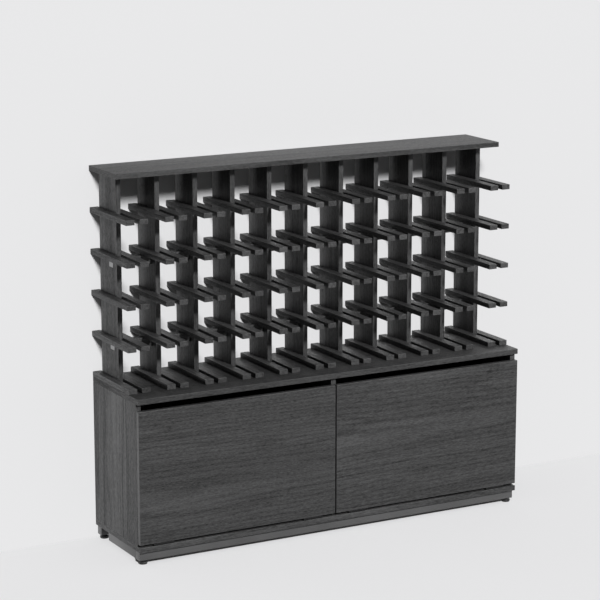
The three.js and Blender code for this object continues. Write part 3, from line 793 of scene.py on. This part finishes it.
def add_sun(name, azimuth, elevation, width, strength):
    """A distant light; azimuth 0 shines from the front, and a positive one from the right."""
    light = bpy.data.lights.new(name, "SUN")
    light.angle = math.radians(width)
    light.energy = strength
    lamp = bpy.data.objects.new(name, light)
    side, up = math.radians(azimuth), math.radians(elevation)
    source = Vector((math.sin(side) * math.cos(up), -math.cos(side) * math.cos(up), math.sin(up)))
    lamp.rotation_mode = "QUATERNION"
    lamp.rotation_quaternion = (-source).to_track_quat("-Z", "Y")
    bpy.context.scene.collection.objects.link(lamp)
    return lamp


def add_area_light(name, place, target, size, power):
    light = bpy.data.lights.new(name, "AREA")
    light.shape = "RECTANGLE"
    light.size, light.size_y = size
    light.energy = power
    lamp = bpy.data.objects.new(name, light)
    lamp.location = place
    lamp.rotation_mode = "QUATERNION"
    lamp.rotation_quaternion = (Vector(target) - Vector(place)).to_track_quat("-Z", "Y")
    bpy.context.scene.collection.objects.link(lamp)
    return lamp


def plain_material(name, low, high):
    """A matt, very slightly uneven pale surface."""
    m = Recipe(name)
    place = m.node("ShaderNodeTexCoord").outputs["Object"]
    patches = m.noise(place, (0.7, 0.7, 0.7), 2.0)
    m.feed(m.shader.inputs["Base Color"], m.blend(patches, grey(low), grey(high)))
    m.shader.inputs["Roughness"].default_value = 0.9
    m.shader.inputs["Specular IOR Level"].default_value = 0.1
    return m


def add_stage(name, size, place, turn, recipe):
    """A flat sheet of the studio, size metres from its middle to each side."""
    shape = bmesh.new()
    bmesh.ops.create_grid(shape, x_segments=1, y_segments=1, size=1.0)
    bmesh.ops.scale(shape, vec=(size[0], size[1], 1.0), verts=shape.verts)
    shape.transform(Matrix.Translation(place) @ Matrix.Rotation(turn, 4, "X"))
    mesh = bpy.data.meshes.new(name)
    shape.to_mesh(mesh)
    shape.free()
    mesh.materials.append(recipe.material)
    sheet = bpy.data.objects.new(name, mesh)
    bpy.context.scene.collection.objects.link(sheet)
    return sheet


def named_group(name, members, state="INCLUDE"):
    """A collection that a lamp's light linking reads, outside the scene's own."""
    group = bpy.data.collections.new(name)
    for member in members:
        group.objects.link(member)
    for entry in group.collection_objects:
        entry.light_linking.link_state = state
    return group


def pieces_named(pattern):
    """A group of the pieces and nodes whose whole name fits a pattern."""
    fitting = [piece for piece in bpy.data.objects if re.fullmatch(pattern, piece.name)]
    return named_group("fitting_pieces", fitting)


def build_stage():
    """A pale floor and wall, each with a light of its own, and lamps that reach only the rack."""
    floor = add_stage("floor", FLOOR_SIZE, (0, 0, 0), 0.0, plain_material("floor", 0.80, 0.84))
    floor.visible_diffuse = False

    # The wall shows only from its front, and throws no shadow and no diffuse light on the rack.
    recipe = plain_material("wall", 0.45, 0.46)
    clear = recipe.node("ShaderNodeBsdfTransparent").outputs[0]
    behind = recipe.node("ShaderNodeNewGeometry").outputs["Backfacing"]
    sides = recipe.node("ShaderNodeMixShader", {0: behind, 1: recipe.shader.outputs[0], 2: clear})
    recipe.feed(recipe.tree.nodes["Material Output"].inputs["Surface"], sides.outputs[0])
    wall_place = (0, cad_box[1].y + WALL_GAP, WALL_SIZE[1])
    wall = add_stage("wall", WALL_SIZE, wall_place, math.pi / 2, recipe)
    wall.visible_shadow = False
    wall.visible_diffuse = False

    world = bpy.data.worlds.new("studio")
    world.use_nodes = True
    world.node_tree.nodes["Background"].inputs["Color"].default_value = (1.0, 1.0, 1.0, 1.0)
    world.node_tree.nodes["Background"].inputs["Strength"].default_value = WORLD_LIGHT
    bpy.context.scene.world = world

    # The shelf and the left rails alone shade the wall; the plinth's front bar and the feet, the floor.
    only_wall, only_floor = named_group("only_wall", [wall]), named_group("only_floor", [floor])
    wall_sun = add_sun("wall_sun", *WALL_SUN)
    wall_sun.light_linking.receiver_collection = only_wall
    wall_sun.light_linking.blocker_collection = pieces_named("top_shelf_board|rail_row.*_left")
    floor_sun = add_sun("floor_sun", *FLOOR_SUN)
    floor_sun.light_linking.receiver_collection = only_floor
    floor_sun.light_linking.blocker_collection = pieces_named("(plinth_front|foot).*")
    all_but_stage = named_group("all_but_stage", [wall, floor], "EXCLUDE")
    for name, place, size, power in LAMPS:
        lamp = add_area_light(name, place, LAMPS_AIM, size, power)
        lamp.light_linking.receiver_collection = all_but_stage
        lamp.visible_glossy = name != "left"  # its reflection would whiten the shelf's underside


VIEW_AZIMUTH, VIEW_ELEVATION, VIEW_DISTANCE = -28.734, 12.374, 6.240
VIEW_TARGET = Vector((-0.1140, -0.1465, 0.6787))
SENSOR_WIDTH, FOCAL_LENGTH = 36.0, 138.26  # millimetres


def build_camera():
    """A long lens in front and to the left of the rack, looking slightly down on it."""
    azimuth, elevation = math.radians(VIEW_AZIMUTH), math.radians(VIEW_ELEVATION)
    back = Vector((
        math.sin(azimuth) * math.cos(elevation),
        -math.cos(azimuth) * math.cos(elevation),
        math.sin(elevation),
    ))
    data = bpy.data.cameras.new("camera")
    data.sensor_width = SENSOR_WIDTH
    data.lens = FOCAL_LENGTH
    data.clip_end = 200.0
    camera = bpy.data.objects.new("camera", data)
    camera.location = VIEW_TARGET + back * VIEW_DISTANCE
    camera.rotation_mode = "QUATERNION"
    camera.rotation_quaternion = (-back).to_track_quat("-Z", "Y")
    bpy.context.scene.collection.objects.link(camera)
    bpy.context.scene.camera = camera


build_camera()
build_rack()
build_cupboard()
build_hinges()
build_stays()
build_catches()
build_plinth()
build_feet()
build_stage()
bpy.context.scene.view_settings.view_transform = "Standard"
